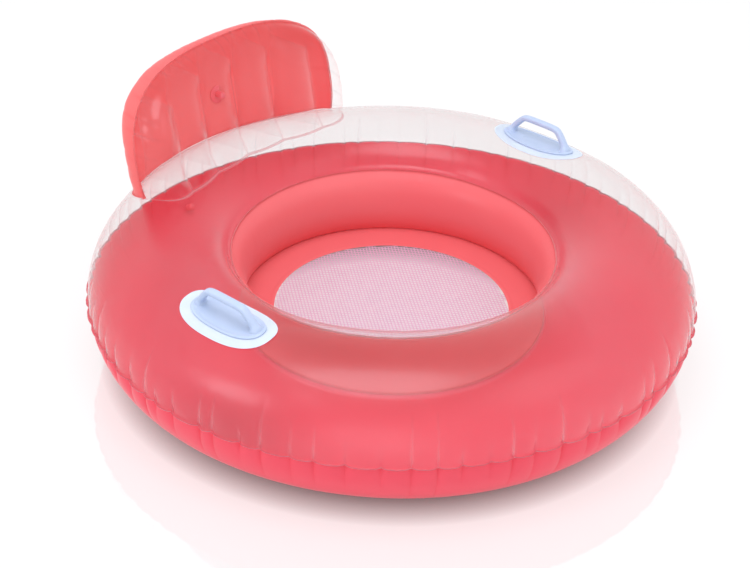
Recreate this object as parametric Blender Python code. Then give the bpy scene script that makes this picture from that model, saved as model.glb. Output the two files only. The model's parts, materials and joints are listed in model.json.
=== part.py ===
"""Inflatable ring lounge: a round air chamber, a mesh seat, a ribbed backrest and two grab handles.

Frame: +Z up, the sitter faces -Y, the backrest stands at +Y, the origin is the ring's centre on the
floor. All lengths are in metres. The vinyl is drawn SKIN thick, so that every panel is a real solid.
"""
import math

import bmesh
import bpy
from mathutils import Matrix, Vector

# Driving dimensions
LIP_RADIUS = 0.599
SKIN = 0.0008
GAP = 0.0003
SEGMENTS = 48

TUBE_CENTRE_RADIUS = 0.441
TUBE_HALF_WIDTH = 0.154
TUBE_HALF_HEIGHT = 0.1455
TUBE_CENTRE_Z = 0.1425
OUTER_SEAM = -2.0
INNER_SEAM = 146.0
CREASE = 204.0
SEAM_PINCHES = ((INNER_SEAM, 0.04, 9.0), (CREASE, 0.02, 6.0))
SEAM_SLIT = 0.1
LIP_BEND = 6.0
LIP_ROOT = 0.0006

SEAT_RADIUS = 0.2365
SEAT_Z = 0.0835
SEAT_DISH = 0.007
BAND_OUTER_RADIUS = 0.3005
BAND_THICKNESS = 0.0010
NET_THICKNESS = 0.0012
NET_CLEARANCE = 0.0006

BACK_HALF_WIDTH = 0.277
BACK_WIDEST_Z = 0.340
BACK_RISE = 0.172
BACK_CORNER_POWER = 3.0
BACK_SPLIT_Z = 0.305
BACK_LEAN = math.radians(10.0)
BACK_SEAM_Y = 0.4395
BACK_SEAM_BOW = 0.4
BACK_BASE_Z = 0.277
BACK_COLUMNS = 16
BACK_ROWS = 8
FRONT_DEPTH = 0.0465
FRONT_DEPTH_GROWTH = 0.65
REAR_DEPTH = 0.090
REAR_DEPTH_GROWTH = -0.10
WELD_FIN = 0.005
FOOT_FLANGE = 0.008
FOOT_CLEARANCE = 0.0014
RIB_SPACING = 0.095
RIB_TOP_MARGIN = 0.040
RIB_CLEARANCE = 0.0012
CAVITY_REACH = 0.95

HANDLE_RADIUS = 0.459
HANDLE_Y = -0.005
HANDLE_SAG = 0.009
SAG_REACH_INWARDS = 0.150
SAG_REACH_OUTWARDS = 0.100
SAG_LENGTH = 0.130
OVAL_POWER = 2.4
PATCH_HALF_LENGTH = 0.104
PATCH_HALF_WIDTH = 0.054
PAD_HALF_LENGTH = 0.084
PAD_HALF_WIDTH = 0.036
PATCH_CLEARANCE = 0.0008
PAD_CLEARANCE = 0.0008
PAD_THICKNESS = 0.0030
GRIP_FOOT_SPACING = 0.138
GRIP_TOP_LENGTH = 0.076
GRIP_HEIGHT = 0.036
GRIP_WIDTH = 0.015
GRIP_DEPTH = 0.010
GRIP_LEAN = math.radians(8.0)
BAR_CORNER = 0.35

VALVE_FLANGE_RADIUS = 0.019
VALVE_FLANGE_THICKNESS = 0.0012
VALVE_FLANGE_BASE = 0.0006
VALVE_HOLE_RADIUS = 0.0100
STEM_RADIUS = 0.0070
STEM_BORE_RADIUS = 0.0042
STEM_LENGTH = 0.018
COLLAR_RADIUS = 0.0092
COLLAR_THICKNESS = 0.0016
COLLAR_BASE = VALVE_FLANGE_BASE + VALVE_FLANGE_THICKNESS + GAP
PLUG_RADIUS = 0.0038
PLUG_LENGTH = 0.010
CAP_RADIUS = 0.0080
CAP_THICKNESS = 0.0016
CAP_BASE = COLLAR_BASE + COLLAR_THICKNESS + GAP
FLAP_RADIUS = 0.0066
FLAP_THICKNESS = 0.0006
TETHER_WIDTH = 0.0036
TETHER_THICKNESS = 0.0008
TETHER_REACH = 0.0055
RING_VALVE_ANGLE = -25.0
BACK_VALVE_X = 0.060
BACK_VALVE_Z = 0.345

COLOURS = {
    "clear_vinyl": ((0.93, 0.93, 0.95, 1.0), 0.08),
    "coral_vinyl": ((0.90, 0.17, 0.20, 1.0), 0.15),
    "seat_net": ((0.90, 0.88, 0.92, 1.0), 0.60),
    "handle": ((0.68, 0.77, 0.93, 1.0), 0.30),
    "handle_patch": ((0.80, 0.87, 0.95, 1.0), 0.20),
    "valve": ((0.90, 0.92, 0.95, 1.0), 0.30),
}


def clear_scene():
    for item in list(bpy.data.objects):
        bpy.data.objects.remove(item, do_unlink=True)


def material(name):
    made = bpy.data.materials.get(name)
    if made:
        return made
    colour, roughness = COLOURS[name]
    made = bpy.data.materials.new(name)
    made.use_nodes = True
    shader = made.node_tree.nodes["Principled BSDF"]
    shader.inputs["Base Color"].default_value = colour
    shader.inputs["Roughness"].default_value = roughness
    shader.inputs["Metallic"].default_value = 0.0
    return made


def add_object(name, mesh_data, slot):
    """Put a finished bmesh into the scene as a named, smooth-shaded object."""
    bmesh.ops.remove_doubles(mesh_data, verts=mesh_data.verts, dist=0.00001)
    bmesh.ops.recalc_face_normals(mesh_data, faces=mesh_data.faces)
    mesh = bpy.data.meshes.new(name)
    mesh_data.to_mesh(mesh)
    mesh_data.free()
    mesh.shade_smooth()
    mesh.set_sharp_from_angle(angle=math.radians(40))
    thing = bpy.data.objects.new(name, mesh)
    bpy.context.scene.collection.objects.link(thing)
    mesh.materials.append(material(slot))
    return thing


def add_boolean(thing, cutter, operation):
    """Use another object as a hidden boolean operand."""
    cutter.hide_render = True
    cutter.display_type = "WIRE"
    modifier = thing.modifiers.new(operation.lower(), "BOOLEAN")
    modifier.operation = operation
    modifier.object = cutter


def spin_loop(loop, segments=SEGMENTS):
    """Turn a closed (radius, z) loop about +Z."""
    made = bmesh.new()
    rings = []
    for step in range(segments):
        angle = 2 * math.pi * step / segments
        rings.append([made.verts.new((r * math.cos(angle), r * math.sin(angle), z)) for r, z in loop])
    for step in range(segments):
        ring, following = rings[step], rings[(step + 1) % segments]
        for i in range(len(loop)):
            j = (i + 1) % len(loop)
            made.faces.new((ring[i], following[i], following[j], ring[j]))
    return made


def close_grids(outer, inner):
    """Join two matching point grids into one closed shell."""
    made = bmesh.new()
    last_row, last_column = len(outer) - 1, len(outer[0]) - 1
    front = [[made.verts.new(p) for p in row] for row in outer]
    rear = [[made.verts.new(p) for p in row] for row in inner]
    for i in range(last_row):
        for j in range(last_column):
            made.faces.new((front[i][j], front[i][j + 1], front[i + 1][j + 1], front[i + 1][j]))
            made.faces.new((rear[i][j], rear[i + 1][j], rear[i + 1][j + 1], rear[i][j + 1]))
    for i in (0, last_row):
        for j in range(last_column):
            made.faces.new((front[i][j], rear[i][j], rear[i][j + 1], front[i][j + 1]))
    for j in (0, last_column):
        for i in range(last_row):
            made.faces.new((front[i][j], front[i + 1][j], rear[i + 1][j], rear[i][j]))
    return made


# The ring

def tube_point(angle, inset=0.0):
    """Radius and height of the air tube's skin at an angle round its own section, in degrees."""
    pinch = sum(depth * math.exp(-(((angle - seam) / spread) ** 2)) for seam, depth, spread in SEAM_PINCHES)
    turn = math.radians(angle)
    radius = TUBE_CENTRE_RADIUS + (TUBE_HALF_WIDTH * (1 - pinch) - inset) * math.cos(turn)
    height = TUBE_CENTRE_Z + (TUBE_HALF_HEIGHT * (1 - pinch) - inset) * math.sin(turn)
    return radius, max(height, inset)


def tube_arc(start, end, steps, inset=0.0):
    return [tube_point(start + (end - start) * i / steps, inset) for i in range(steps + 1)]


def tube_top_z(x, y):
    """Height of the tube's upper skin above a point of the floor."""
    offset = (math.hypot(x, y) - TUBE_CENTRE_RADIUS) / TUBE_HALF_WIDTH
    height = TUBE_CENTRE_Z + TUBE_HALF_HEIGHT * math.sqrt(max(0.0, 1 - offset * offset))
    return height - handle_sag(x, y, height)


def handle_sag(x, y, z):
    """How far the upper half of the tube dips where the handles are welded to it."""
    off_line = math.hypot(x, y) - HANDLE_RADIUS
    reach = SAG_REACH_INWARDS if off_line < 0 else SAG_REACH_OUTWARDS
    share = min(max((z - TUBE_CENTRE_Z) / (0.6 * TUBE_HALF_HEIGHT), 0.0), 1.0)
    near = math.exp(-((off_line / reach) ** 2) - (((y - HANDLE_Y) / SAG_LENGTH) ** 2))
    return HANDLE_SAG * near * share * share * (3 - 2 * share)


def let_sag(made):
    for vert in made.verts:
        vert.co.z -= handle_sag(vert.co.x, vert.co.y, vert.co.z)
    return made


def build_ring():
    seam_r, seam_z = tube_point(OUTER_SEAM)
    above = seam_z + GAP / 2
    below = seam_z - GAP / 2
    upper_lip = [(LIP_RADIUS, above + SKIN), (seam_r + LIP_ROOT, above + SKIN)]
    upper_root = [(seam_r - LIP_ROOT, above), (LIP_RADIUS, above)]
    start = OUTER_SEAM + LIP_BEND
    end = INNER_SEAM - SEAM_SLIT
    top = upper_lip + tube_arc(start, end, 12) + tube_arc(end, start, 12, SKIN) + upper_root
    add_object("ring_top_panel", let_sag(spin_loop(top)), "clear_vinyl")

    lower_lip = [(LIP_RADIUS, below - SKIN), (seam_r + LIP_ROOT, below - SKIN)]
    lower_root = [(seam_r - LIP_ROOT, below), (LIP_RADIUS, below)]
    start = 360 + OUTER_SEAM - LIP_BEND
    end = CREASE + SEAM_SLIT
    bottom = lower_lip + tube_arc(start, end, 12) + tube_arc(end, start, 12, SKIN) + lower_root
    panel = add_object("ring_bottom_panel", spin_loop(bottom), "coral_vinyl")

    start = INNER_SEAM + SEAM_SLIT
    end = CREASE - SEAM_SLIT
    wall = tube_arc(start, end, 5) + tube_arc(end, start, 5, SKIN)
    add_object("ring_inner_wall", let_sag(spin_loop(wall)), "coral_vinyl")
    return panel


def build_seat():
    hole = SEAT_RADIUS + NET_CLEARANCE
    band = [(hole, SEAT_Z), (BAND_OUTER_RADIUS, SEAT_Z),
            (BAND_OUTER_RADIUS, SEAT_Z - BAND_THICKNESS), (hole, SEAT_Z - BAND_THICKNESS)]
    add_object("seat_band", spin_loop(band), "coral_vinyl")
    steps = 4
    upper = []
    for i in range(steps + 1):
        share = 1 - i / steps
        upper.append((SEAT_RADIUS * share, SEAT_Z - SEAT_DISH * (1 - share * share)))
    lower = [(r, z - NET_THICKNESS) for r, z in reversed(upper)]
    add_object("seat_mesh", spin_loop(upper + lower), "seat_net")


# The backrest

def half_width(z):
    """Half the backrest's width at a height below its widest line."""
    drop = (BACK_WIDEST_Z - z) / (BACK_WIDEST_Z - BACK_BASE_Z)
    return BACK_HALF_WIDTH * (1 - 0.03 * drop * drop)


def seam_y(x, z):
    return BACK_SEAM_Y - BACK_SEAM_BOW * x * x + (z - BACK_BASE_Z) * math.tan(BACK_LEAN)


def outline_point(u, v):
    """Place in the seam surface of a grid point: u runs from side to side, v up from the widest line."""
    power = BACK_CORNER_POWER
    x = BACK_HALF_WIDTH * u * (1 - v ** power / 2) ** (1 / power)
    z = BACK_WIDEST_Z + BACK_RISE * v * (1 - abs(u) ** power / 2) ** (1 / power)
    return x, z


def outline_normal(x, z):
    """Direction out of the backrest's outline, in the seam surface."""
    power = BACK_CORNER_POWER - 1
    across = math.copysign(abs(x / BACK_HALF_WIDTH) ** power / BACK_HALF_WIDTH, x)
    up = max(0.0, (z - BACK_WIDEST_Z) / BACK_RISE) ** power / BACK_RISE
    length = math.hypot(across, up)
    return across / length, up / length


def fullness(u, v):
    """How far the panel stands off the seam surface, from 0 at the seam to 1 in the middle."""
    return math.sqrt(max(0.0, (1 - u ** 6) * (1 - max(0.0, v) ** BACK_CORNER_POWER)))


def panel_depth(side, x):
    if side < 0:
        return FRONT_DEPTH + FRONT_DEPTH_GROWTH * x * x
    return REAR_DEPTH + REAR_DEPTH_GROWTH * x * x


def panel_point(side, u, v, inset=0.0):
    """A point on the front (side -1) or rear (side +1) panel above the split line."""
    x, z = outline_point(u, v) if v >= 0 else (u * half_width(lower_z(v)), lower_z(v))
    stand_off = GAP / 2 + SKIN + panel_depth(side, x) * fullness(u, v) - inset
    return Vector((x, seam_y(x, z) + side * max(stand_off, GAP / 2), z))


def lower_z(v):
    """Height of a row below the widest line: v is 0 there and -1 at the split line."""
    return BACK_WIDEST_Z + v * (BACK_WIDEST_Z - BACK_SPLIT_Z - GAP)


def grid_values():
    columns = [math.sin(math.pi * (i / BACK_COLUMNS - 0.5)) for i in range(BACK_COLUMNS + 1)]
    rows = [-1.0, -0.5] + [math.sin(math.pi / 2 * i / BACK_ROWS) for i in range(BACK_ROWS + 1)]
    return columns, rows


def panel_grid(side):
    """Rows of points over one panel, with the weld fin round its sides and top."""
    columns, rows = grid_values()
    grid = []
    for v in rows + [None]:
        line = []
        for u in [None] + columns + [None]:
            at_u = u if u is not None else (columns[0] if not line else columns[-1])
            at_v = v if v is not None else rows[-1]
            point = panel_point(side, at_u, at_v)
            if u is None or v is None:
                nx, nz = outline_normal(point.x, point.z)
                point = point + Vector((nx, 0, nz)) * WELD_FIN
            line.append(point)
        grid.append(line)
    return grid


def skin_over(name, grid, slot, towards):
    """A sheet of SKIN thickness over a grid of points, thickened away from the outside."""
    made = bmesh.new()
    verts = [[made.verts.new(p) for p in row] for row in grid]
    for i in range(len(grid) - 1):
        for j in range(len(grid[0]) - 1):
            made.faces.new((verts[i][j], verts[i][j + 1], verts[i + 1][j + 1], verts[i + 1][j]))
    bmesh.ops.remove_doubles(made, verts=made.verts, dist=0.00001)
    made.normal_update()
    if sum((face.normal.dot(towards) * face.calc_area() for face in made.faces), 0.0) < 0:
        bmesh.ops.reverse_faces(made, faces=made.faces)
    mesh = bpy.data.meshes.new(name)
    made.to_mesh(mesh)
    made.free()
    mesh.shade_smooth()
    thing = bpy.data.objects.new(name, mesh)
    bpy.context.scene.collection.objects.link(thing)
    mesh.materials.append(material(slot))
    solid = thing.modifiers.new("thickness", "SOLIDIFY")
    solid.thickness = SKIN
    solid.offset = -1.0
    return thing


def foot_grid(side):
    """Rows of points from the flange welded to the ring up to the split line."""
    columns, _ = grid_values()
    levels = 3
    grid = []
    for level in range(levels + 1):
        line = []
        for u in columns:
            top = panel_point(side, u, -1.0)
            top.z = BACK_SPLIT_Z - GAP
            base_x = u * half_width(BACK_BASE_Z)
            stand_off = GAP / 2 + SKIN + panel_depth(side, base_x) * fullness(u, 0.0)
            base_y = seam_y(base_x, BACK_BASE_Z) + side * stand_off
            root = Vector((base_x, base_y, 0))
            if level == 0:
                root.y += side * FOOT_FLANGE
            root.z = tube_top_z(root.x, root.y) + FOOT_CLEARANCE + SKIN
            share = max(0, level - 1) / (levels - 1)
            line.append(root.lerp(top, share) if level else root)
        grid.append(line)
    return grid


def cavity_object():
    """The air space between the two panels, kept a little clear of their skins."""
    columns, rows = grid_values()
    clear = SKIN + RIB_CLEARANCE
    columns = [u for u in columns if abs(u) < CAVITY_REACH]
    rows = rows[:-1]
    front = [[panel_point(-1, u, v, clear) for u in columns] for v in rows]
    rear = [[panel_point(1, u, v, clear) for u in columns] for v in rows]
    return add_object("backrest_cavity", close_grids(front, rear), "clear_vinyl")


def build_backrest():
    skin_over("backrest_front_panel", panel_grid(-1), "clear_vinyl", Vector((0, -1, 0)))
    rear = skin_over("backrest_back_panel", panel_grid(1), "coral_vinyl", Vector((0, 1, 0)))
    skin_over("backrest_foot_front", foot_grid(-1), "clear_vinyl", Vector((0, -1, 0.2)))
    skin_over("backrest_foot_back", foot_grid(1), "coral_vinyl", Vector((0, 1, 0.2)))
    cavity = cavity_object()
    for number in range(5):
        x = (number - 2) * RIB_SPACING
        build_rib(f"backrest_rib_{number + 1}", x, cavity)
    return rear


def build_rib(name, x, cavity):
    """A plate across the air space, trimmed to it."""
    power = BACK_CORNER_POWER
    rise = BACK_RISE * (1 - abs(x / BACK_HALF_WIDTH) ** power) ** (1 / power)
    low = BACK_SPLIT_Z + 0.006
    high = BACK_WIDEST_Z + rise - RIB_TOP_MARGIN
    made = bmesh.new()
    bmesh.ops.create_cube(made, size=1.0)
    size = Matrix.Diagonal((SKIN, 0.5, high - low, 1))
    place = Matrix.Translation((x, BACK_SEAM_Y, (low + high) / 2))
    bmesh.ops.transform(made, matrix=place @ size, verts=made.verts)
    rib = add_object(name, made, "clear_vinyl")
    add_boolean(rib, cavity, "INTERSECT")


# The handles

def oval_point(half_x, half_y, angle):
    """A point on an oval with full, rounded ends."""
    power = 2 / OVAL_POWER
    across = math.copysign(abs(math.cos(angle)) ** power, math.cos(angle))
    along = math.copysign(abs(math.sin(angle)) ** power, math.sin(angle))
    return half_x * across, half_y * along


def oval_shell(half_x, half_y, centre_x, lift, thickness, rings=3, steps=24):
    """A thin oval laid over the ring's crown, lifted clear of it."""
    lower = []
    upper = []
    for ring in range(rings + 1):
        share = 1 - ring / rings
        for points, height in ((lower, lift), (upper, lift + thickness)):
            line = []
            for step in range(steps):
                across, along = oval_point(half_x, half_y, 2 * math.pi * step / steps)
                x = centre_x + share * across
                y = HANDLE_Y + share * along
                line.append(Vector((x, y, tube_top_z(x, y) + height)))
            points.append(line)
    made = bmesh.new()
    skins = []
    for points in (lower, upper):
        verts = [[made.verts.new(p) for p in line] for line in points[:-1]]
        verts.append([made.verts.new(points[-1][0])] * steps)
        skins.append(verts)
    for verts in skins:
        for i in range(rings):
            for j in range(steps):
                k = (j + 1) % steps
                corners = [verts[i][j], verts[i][k], verts[i + 1][k], verts[i + 1][j]]
                made.faces.new(list(dict.fromkeys(corners)))
    for j in range(steps):
        k = (j + 1) % steps
        made.faces.new((skins[0][0][j], skins[0][0][k], skins[1][0][k], skins[1][0][j]))
    return made


def arch_path():
    """The handle's centre line: up from one foot, over the flat top and down to the other."""
    half_foot = GRIP_FOOT_SPACING / 2
    half_top = GRIP_TOP_LENGTH / 2
    quarter = [(half_foot, -0.002), (half_foot - 0.002, 0.006), (half_foot - 0.010, 0.016),
               (half_top + 0.008, GRIP_HEIGHT - 0.005), (half_top, GRIP_HEIGHT - 0.0015),
               (half_top - 0.010, GRIP_HEIGHT)]
    side = [(-y, z) for y, z in quarter]
    other = [(y, z) for y, z in reversed(quarter)]
    return [Vector((0, y, z)) for y, z in side + other]


def swept_bar(path, width, depth):
    """A bar with rounded corners swept along a path that stays in one upright plane."""
    made = bmesh.new()
    corner = BAR_CORNER
    profile = [(1, -corner), (1, corner), (corner, 1), (-corner, 1),
               (-1, corner), (-1, -corner), (-corner, -1), (corner, -1)]
    loops = []
    for i, point in enumerate(path):
        before = path[max(0, i - 1)]
        after = path[min(len(path) - 1, i + 1)]
        along = (after - before).normalized()
        up = Vector((1, 0, 0)).cross(along)
        loop = []
        for a, b in profile:
            loop.append(made.verts.new(point + Vector((1, 0, 0)) * a * width / 2 + up * b * depth / 2))
        loops.append(loop)
    for first, second in zip(loops, loops[1:]):
        for i in range(len(profile)):
            j = (i + 1) % len(profile)
            made.faces.new((first[i], first[j], second[j], second[i]))
    made.faces.new(loops[0])
    made.faces.new(loops[-1])
    return made


def build_handle(side_name, side):
    centre_x = side * HANDLE_RADIUS
    patch = oval_shell(PATCH_HALF_WIDTH, PATCH_HALF_LENGTH, centre_x, PATCH_CLEARANCE, SKIN)
    add_object(f"handle_{side_name}_patch", patch, "handle_patch")
    pad_lift = PATCH_CLEARANCE + SKIN + PAD_CLEARANCE
    pad = oval_shell(PAD_HALF_WIDTH, PAD_HALF_LENGTH, centre_x, pad_lift, PAD_THICKNESS)
    grip = add_object(f"handle_{side_name}_grip", pad, "handle")
    foot_z = tube_top_z(centre_x, HANDLE_Y + GRIP_FOOT_SPACING / 2) + pad_lift + PAD_THICKNESS
    arch = add_object(f"arch_{side_name}", swept_bar(arch_path(), GRIP_WIDTH, GRIP_DEPTH), "handle")
    arch.location = (centre_x, HANDLE_Y, foot_z)
    arch.rotation_euler.y = side * GRIP_LEAN
    add_boolean(grip, arch, "UNION")


# The valves

def turned_piece(name, loop, frame, slot, segments=16):
    """Turn a loop about the valve's axis and place it on the valve's frame."""
    made = spin_loop(loop, segments)
    thing = add_object(name, made, slot)
    thing.matrix_world = frame
    return thing


def tether_mesh():
    """A strap that leaves the collar, loops outwards and comes back to the cap."""
    low = COLLAR_BASE + COLLAR_THICKNESS / 2
    high = CAP_BASE + CAP_THICKNESS / 2
    start = COLLAR_RADIUS + 2 * GAP
    end = CAP_RADIUS + 2 * GAP
    steps = 8
    made = bmesh.new()
    loops = []
    for i in range(steps + 1):
        share = i / steps
        turn = math.pi * share
        x = start + (end - start) * share + TETHER_REACH * math.sin(turn)
        z = low + (high - low) * share
        nx, nz = math.sin(turn) + 0.001, -math.cos(turn)
        length = math.hypot(nx, nz)
        half = TETHER_THICKNESS / 2
        loop = []
        for y in (-TETHER_WIDTH / 2, TETHER_WIDTH / 2):
            for offset in (-half / length, half / length):
                loop.append(made.verts.new((x + offset * nx, y, z + offset * nz)))
        loops.append([loop[0], loop[1], loop[3], loop[2]])
    for first, second in zip(loops, loops[1:]):
        for i in range(4):
            j = (i + 1) % 4
            made.faces.new((first[i], first[j], second[j], second[i]))
    made.faces.new(loops[0])
    made.faces.new(loops[-1])
    return made


def build_valve(prefix, point, outward, panel):
    """The moulded inflation valve, pushed in, on a panel of the skin."""
    frame = Matrix.Translation(point) @ outward.to_track_quat("Z", "X").to_matrix().to_4x4()
    hole = [(0.0, -0.02), (VALVE_HOLE_RADIUS, -0.02), (VALVE_HOLE_RADIUS, 0.02), (0.0, 0.02)]
    cutter = turned_piece(f"{prefix}_valve_hole", hole, frame, "valve", segments=24)
    add_boolean(panel, cutter, "DIFFERENCE")

    ring_inner = STEM_RADIUS + GAP
    flange_top = VALVE_FLANGE_BASE + VALVE_FLANGE_THICKNESS
    flange = [(ring_inner, VALVE_FLANGE_BASE), (VALVE_FLANGE_RADIUS, VALVE_FLANGE_BASE),
              (VALVE_FLANGE_RADIUS, flange_top), (ring_inner, flange_top)]
    turned_piece(f"{prefix}_valve_flange", flange, frame, "valve", segments=24)

    collar_top = COLLAR_BASE + COLLAR_THICKNESS
    bottom = COLLAR_BASE - STEM_LENGTH
    stem = [(STEM_BORE_RADIUS, bottom), (STEM_RADIUS, bottom), (STEM_RADIUS, COLLAR_BASE),
            (COLLAR_RADIUS, COLLAR_BASE), (COLLAR_RADIUS, collar_top), (STEM_BORE_RADIUS, collar_top)]
    turned_piece(f"{prefix}_valve_stem", stem, frame, "valve")

    cap_top = CAP_BASE + CAP_THICKNESS
    stopper = [(0.0, cap_top - PLUG_LENGTH), (PLUG_RADIUS * 0.8, cap_top - PLUG_LENGTH),
               (PLUG_RADIUS, cap_top - PLUG_LENGTH + 0.002), (PLUG_RADIUS, CAP_BASE),
               (CAP_RADIUS, CAP_BASE), (CAP_RADIUS, cap_top), (0.0, cap_top)]
    turned_piece(f"{prefix}_valve_stopper", stopper, frame, "valve")

    flap_top = bottom - GAP
    flap = [(0.0, flap_top - FLAP_THICKNESS), (FLAP_RADIUS, flap_top - FLAP_THICKNESS),
            (FLAP_RADIUS, flap_top), (0.0, flap_top)]
    turned_piece(f"{prefix}_valve_flap", flap, frame, "valve")

    tether = add_object(f"{prefix}_valve_tether", tether_mesh(), "valve")
    tether.matrix_world = frame


def ring_valve_place():
    """Point and outward direction on the ring's lower panel, at the rear."""
    radius, height = tube_point(RING_VALVE_ANGLE)
    turn = math.radians(RING_VALVE_ANGLE)
    outward = Vector((0, math.cos(turn) / TUBE_HALF_WIDTH, math.sin(turn) / TUBE_HALF_HEIGHT))
    return Vector((0, radius, height)), outward.normalized()


def back_valve_place():
    """Point and outward direction on the backrest's rear panel."""
    power = BACK_CORNER_POWER
    v = (BACK_VALVE_Z - BACK_WIDEST_Z) / BACK_RISE
    u = BACK_VALVE_X / BACK_HALF_WIDTH / (1 - v ** power / 2) ** (1 / power)
    step = 0.02
    centre = panel_point(1, u, v)
    across = panel_point(1, u + step, v) - panel_point(1, u - step, v)
    up = panel_point(1, u, v + step) - panel_point(1, u, max(v - step, 0.0))
    outward = up.cross(across).normalized()
    return centre, outward


def main():
    clear_scene()
    bottom_panel = build_ring()
    build_seat()
    rear_panel = build_backrest()
    for side_name, side in (("left", -1), ("right", 1)):
        build_handle(side_name, side)
    point, outward = ring_valve_place()
    build_valve("ring", point, outward, bottom_panel)
    point, outward = back_valve_place()
    build_valve("backrest", point, outward, rear_panel)


main()
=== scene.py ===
"""The looks of the inflatable ring lounge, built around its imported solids.

Part frame: +Z up, the sitter faces -Y, the backrest stands at +Y, the origin is the ring's centre on
the floor. Every length is in metres. Angles round the tube's own section are counted from its outer
side upwards, in degrees.
"""

import json
import math

import bmesh
import bpy
import numpy as np
from mathutils import Matrix, Vector


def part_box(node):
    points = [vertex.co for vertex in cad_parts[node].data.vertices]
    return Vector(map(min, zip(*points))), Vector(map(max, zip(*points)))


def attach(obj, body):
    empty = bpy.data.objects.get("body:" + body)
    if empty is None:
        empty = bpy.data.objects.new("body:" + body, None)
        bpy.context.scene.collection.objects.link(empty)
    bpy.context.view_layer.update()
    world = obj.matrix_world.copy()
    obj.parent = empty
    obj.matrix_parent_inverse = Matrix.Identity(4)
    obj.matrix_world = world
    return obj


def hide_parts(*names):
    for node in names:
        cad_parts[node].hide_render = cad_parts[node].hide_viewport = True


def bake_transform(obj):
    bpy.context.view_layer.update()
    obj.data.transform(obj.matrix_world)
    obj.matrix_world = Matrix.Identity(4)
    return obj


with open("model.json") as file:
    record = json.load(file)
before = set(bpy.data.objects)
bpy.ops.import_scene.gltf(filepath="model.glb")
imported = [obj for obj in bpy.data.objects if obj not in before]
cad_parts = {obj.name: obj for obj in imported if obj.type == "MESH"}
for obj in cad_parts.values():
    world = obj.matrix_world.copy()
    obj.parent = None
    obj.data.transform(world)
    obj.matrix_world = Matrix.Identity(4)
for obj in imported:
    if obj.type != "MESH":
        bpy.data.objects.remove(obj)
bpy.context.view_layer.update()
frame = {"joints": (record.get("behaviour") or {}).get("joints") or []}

# Sizes read from the frame
RING_LOW, RING_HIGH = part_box("ring_top_panel")
WALL_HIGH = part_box("ring_inner_wall")[1]
NET_LOW, NET_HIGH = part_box("seat_mesh")
BAND_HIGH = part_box("seat_band")[1]
FRONT_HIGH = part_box("backrest_front_panel")[1]
GRIP_LOW, GRIP_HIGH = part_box("handle_right_grip")
PATCH_LOW, PATCH_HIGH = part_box("handle_right_patch")
RIB_PLACES = [sum(corner.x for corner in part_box(f"backrest_rib_{i}")) / 2 for i in range(1, 6)]

# The tube's section: an ellipse with its foot flattened and a pinch at each inner weld
FILM = 0.0004
FOOT_LIFT = 0.0004
FLAT_SINK = 0.003
SEAM_LIP = 0.004
TUBE_HALF_WIDTH = 0.154
TUBE_HALF_HEIGHT = (RING_HIGH.z + FLAT_SINK) / 2
TUBE_Z = RING_HIGH.z - TUBE_HALF_HEIGHT
TUBE_RADIUS = RING_HIGH.x - SEAM_LIP - TUBE_HALF_WIDTH
OUTER_SEAM = -2.0
INNER_SEAM = 146.0
CREASE = 204.0
CREASE_PINCH = 0.02
# Angle of each inner weld, depth of its pinch as a share of the half size, and spread in degrees
SEAM_PINCHES = ((INNER_SEAM, 0.04, 9.0), (CREASE, CREASE_PINCH, 6.0))

# The dip round each welded handle
HANDLE_X = (PATCH_LOW.x + PATCH_HIGH.x) / 2
HANDLE_Y = (PATCH_LOW.y + PATCH_HIGH.y) / 2
HANDLE_SAG = 0.009
SAG_REACH_INWARDS = 0.150
SAG_REACH_OUTWARDS = 0.100
SAG_LENGTH = 0.130
# The share of the tube's half height from which the dip is full
SAG_FULL_FROM = 0.6

# The backrest's outline and depth
FIN = 0.005
BACK_HALF_WIDTH = FRONT_HIGH.x - FIN
BACK_WIDEST_Z = 0.340
BACK_RISE = FRONT_HIGH.z - FIN - BACK_WIDEST_Z
BACK_CORNER_POWER = 3.0
BACK_BASE_Z = 0.277
BACK_LEAN = math.radians(10.0)
BACK_SEAM_Y = 0.4395
BACK_SEAM_BOW = 0.4
FRONT_DEPTH = 0.0465
FRONT_DEPTH_GROWTH = 0.65
REAR_DEPTH = 0.090
REAR_DEPTH_GROWTH = -0.10
RIB_SPACING = RIB_PLACES[1] - RIB_PLACES[0]


# Camera and light

LENS = 87.75
SHIFT = (-0.0233, -0.008)
CAMERA_TARGET = Vector((0, 0, 0.15))
CAMERA_DISTANCE = 3.606
CAMERA_AZIMUTH = math.radians(-50.5)
CAMERA_ELEVATION = math.radians(32.1)
CAMERA_ROLL = 0.034
WORLD_STRENGTH = 0.93
LIGHT_COLOUR = (0.93, 0.92, 1.0)
# Name, place, width of the disc and power in watts
LIGHTS = (
    ("key", (0.5, -2.6, 2.6), 2.4, 10.0),
    ("side", (-3.0, 0.9, 1.7), 1.2, 14.0),
    ("top", (-0.75, -0.35, 3.2), 2.2, 44.0),
)
LIGHT_TARGET = Vector((0, 0, 0.2))


def build_camera():
    data = bpy.data.cameras.new("camera")
    data.lens = LENS
    data.shift_x, data.shift_y = SHIFT
    data.clip_start = 0.05
    camera = bpy.data.objects.new("camera", data)
    bpy.context.scene.collection.objects.link(camera)
    flat = math.cos(CAMERA_ELEVATION)
    back = Vector((math.sin(CAMERA_AZIMUTH) * flat, -math.cos(CAMERA_AZIMUTH) * flat,
                   math.sin(CAMERA_ELEVATION)))
    roll = Matrix.Rotation(CAMERA_ROLL, 4, "Z")
    aim = (-back).to_track_quat("-Z", "Y").to_matrix().to_4x4()
    camera.matrix_world = Matrix.Translation(CAMERA_TARGET + back * CAMERA_DISTANCE) @ aim @ roll
    bpy.context.scene.camera = camera


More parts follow.
